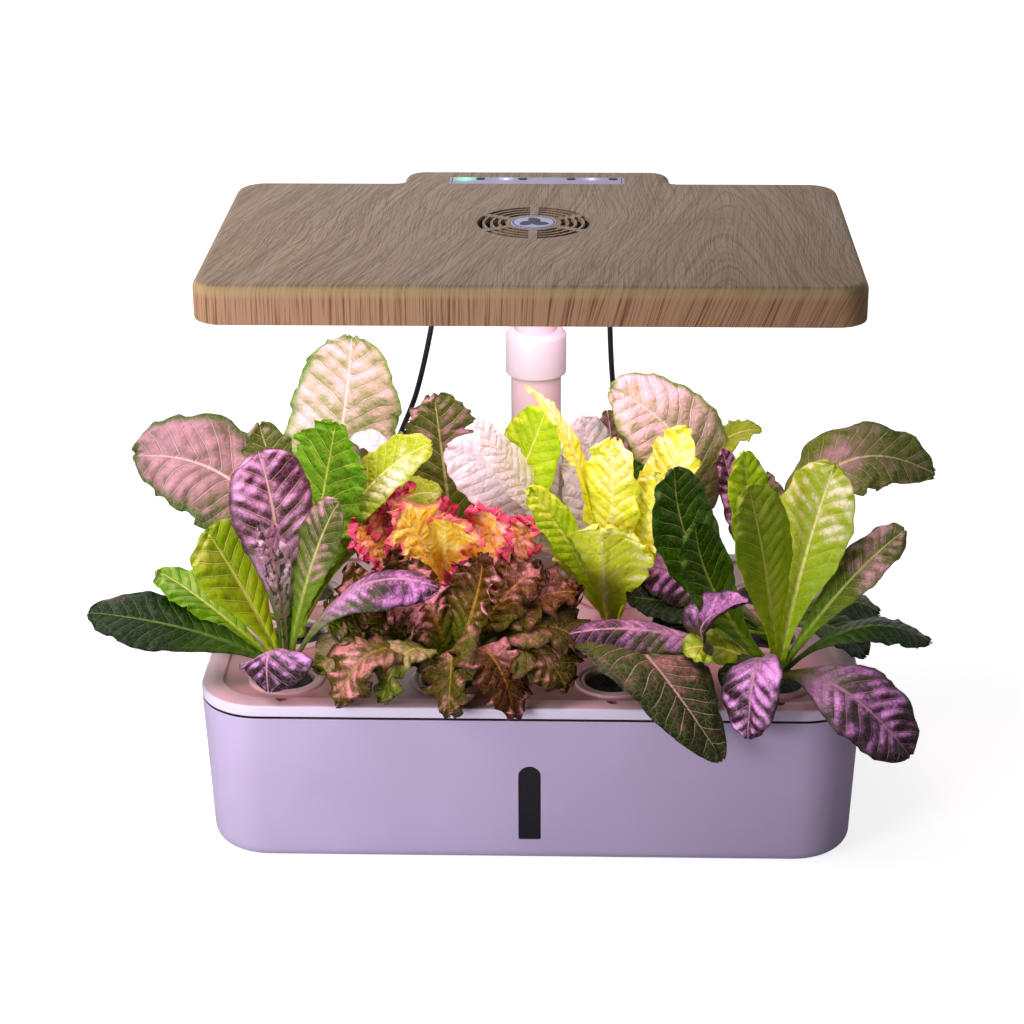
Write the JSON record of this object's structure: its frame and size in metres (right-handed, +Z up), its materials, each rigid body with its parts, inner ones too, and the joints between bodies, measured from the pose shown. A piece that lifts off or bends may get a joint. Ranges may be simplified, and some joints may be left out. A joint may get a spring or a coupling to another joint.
{
  "type": "hydroponic garden",
  "caption": "Countertop hydroponic garden: tapered water tank with a level window, lift-off planting deck with lettuces, telescopic mast, wood-grain lamp head with a fan and keys.",
  "frame": {"origin": "middle of the tank's underside, on the table", "axes": "+X to the right along the tank's width, +Y to the back, +Z up; the level window faces -Y"},
  "size_m": [0.526, 0.4161, 0.3653],
  "materials": {
    "tank_plastic": "satin",
    "window_plastic": "gloss",
    "seal_rubber": "matte",
    "deck_plastic": "satin",
    "basket_plastic": "satin",
    "foam": "matte",
    "purple_leaf": "satin",
    "pale_leaf": "satin",
    "yellow_leaf": "satin",
    "red_leaf": "satin",
    "bronze_leaf": "satin",
    "mast_tube": "satin",
    "white_plastic": "satin",
    "collet_plastic": "satin",
    "pump_plastic": "matte",
    "rotor_plastic": "satin",
    "wood_print": "satin",
    "lens_plastic": "satin",
    "board": "matte",
    "chip": "gloss",
    "fan_plastic": "satin",
    "pale_plastic": "satin",
    "screw_steel": "satin",
    "light_pipe": "gloss",
    "key_plastic": "satin",
    "cord_rubber": "satin",
    "adapter_plastic": "satin"
  },
  "bodies": {
    "tank": {"tank_shell": "tank_plastic", "level_window": "window_plastic", "window_gasket": "seal_rubber", "tank_pads": "seal_rubber", "adapter_lead": "cord_rubber", "lead_coil": "cord_rubber", "coil_tie": "cord_rubber", "power_adapter": "adapter_plastic", "adapter_pins": "screw_steel"},
    "deck": {"deck_panel": "deck_plastic", "baskets": "basket_plastic", "grow_sponges": "foam", "front_left_romaine": "purple_leaf", "middle_left_lettuce": "yellow_leaf", "back_left_lettuce": "pale_leaf", "bronze_frilled_lettuce": "bronze_leaf", "red_frilled_lettuce": "red_leaf", "back_centre_lettuce": "pale_leaf", "yellow_romaine": "yellow_leaf", "back_right_lettuce": "pale_leaf", "front_right_romaine": "purple_leaf", "middle_right_lettuce": "purple_leaf", "far_right_lettuce": "pale_leaf", "outer_pole": "mast_tube", "pole_foot": "white_plastic", "pole_nut": "white_plastic", "collet": "collet_plastic", "pump_hanger": "white_plastic", "pump_housing": "pump_plastic", "pump_cover": "pump_plastic", "pump_sponge": "foam", "pump_grommet": "seal_rubber", "dc_connector": "cord_rubber", "pump_lead": "cord_rubber", "lamp_pigtail": "cord_rubber"},
    "lamp": {"inner_pole": "mast_tube", "guide_bush": "white_plastic", "lamp_socket": "white_plastic", "lamp_top_shell": "wood_print", "lamp_bottom_tray": "white_plastic", "led_board": "board", "led_chips": "chip", "lamp_lens": "lens_plastic", "fan_outlet": "white_plastic", "fan_frame": "fan_plastic", "fan_badge": "pale_plastic", "lamp_screws": "screw_steel", "control_strip": "pale_plastic", "control_board": "board", "status_lights": "light_pipe", "power_gland": "cord_rubber", "pump_gland": "cord_rubber"},
    "collar": {"lock_collar": "white_plastic"},
    "impeller": {"pump_rotor": "rotor_plastic"},
    "fan": {"fan_rotor": "fan_plastic"},
    "power_key": {"power_key": "key_plastic"},
    "leaf_key": {"leaf_key": "key_plastic"},
    "flower_key": {"flower_key": "key_plastic"},
    "fan_key": {"fan_key": "key_plastic"}
  },
  "joints": [
    {"name": "deck_lift", "type": "slide", "parent": "tank", "child": "deck", "axis": [0, 0, 1], "range_m": [0, 0.09], "deforming": ["adapter_lead"]},
    {"name": "lamp_height", "type": "slide", "parent": "deck", "child": "lamp", "axis": [0, 0, 1], "range_m": [-0.06, 0.03], "deforming": ["lamp_pigtail", "pump_lead"]},
    {"name": "collar_turn", "type": "hinge", "parent": "deck", "child": "collar", "pos_m": [0, 0.088, 0.26], "axis": [0, 0, 1], "range_deg": [0, 90]},
    {"name": "impeller_spin", "type": "hinge", "parent": "deck", "child": "impeller", "pos_m": [0, -0.002, 0.03], "axis": [0, 0, 1], "continuous": true},
    {"name": "fan_spin", "type": "hinge", "parent": "lamp", "child": "fan", "pos_m": [0, 0.0195, 0.357], "axis": [0, 0, 1], "continuous": true},
    {"name": "power_press", "type": "slide", "parent": "lamp", "child": "power_key", "axis": [0, 0, -1], "range_m": [0, 0.0006], "stiffness_N_per_m": 400, "springref_m": -0.0005},
    {"name": "leaf_press", "type": "slide", "parent": "lamp", "child": "leaf_key", "axis": [0, 0, -1], "range_m": [0, 0.0006], "stiffness_N_per_m": 400, "springref_m": -0.0005},
    {"name": "flower_press", "type": "slide", "parent": "lamp", "child": "flower_key", "axis": [0, 0, -1], "range_m": [0, 0.0006], "stiffness_N_per_m": 400, "springref_m": -0.0005},
    {"name": "fan_press", "type": "slide", "parent": "lamp", "child": "fan_key", "axis": [0, 0, -1], "range_m": [0, 0.0006], "stiffness_N_per_m": 400, "springref_m": -0.0005}
  ]
}
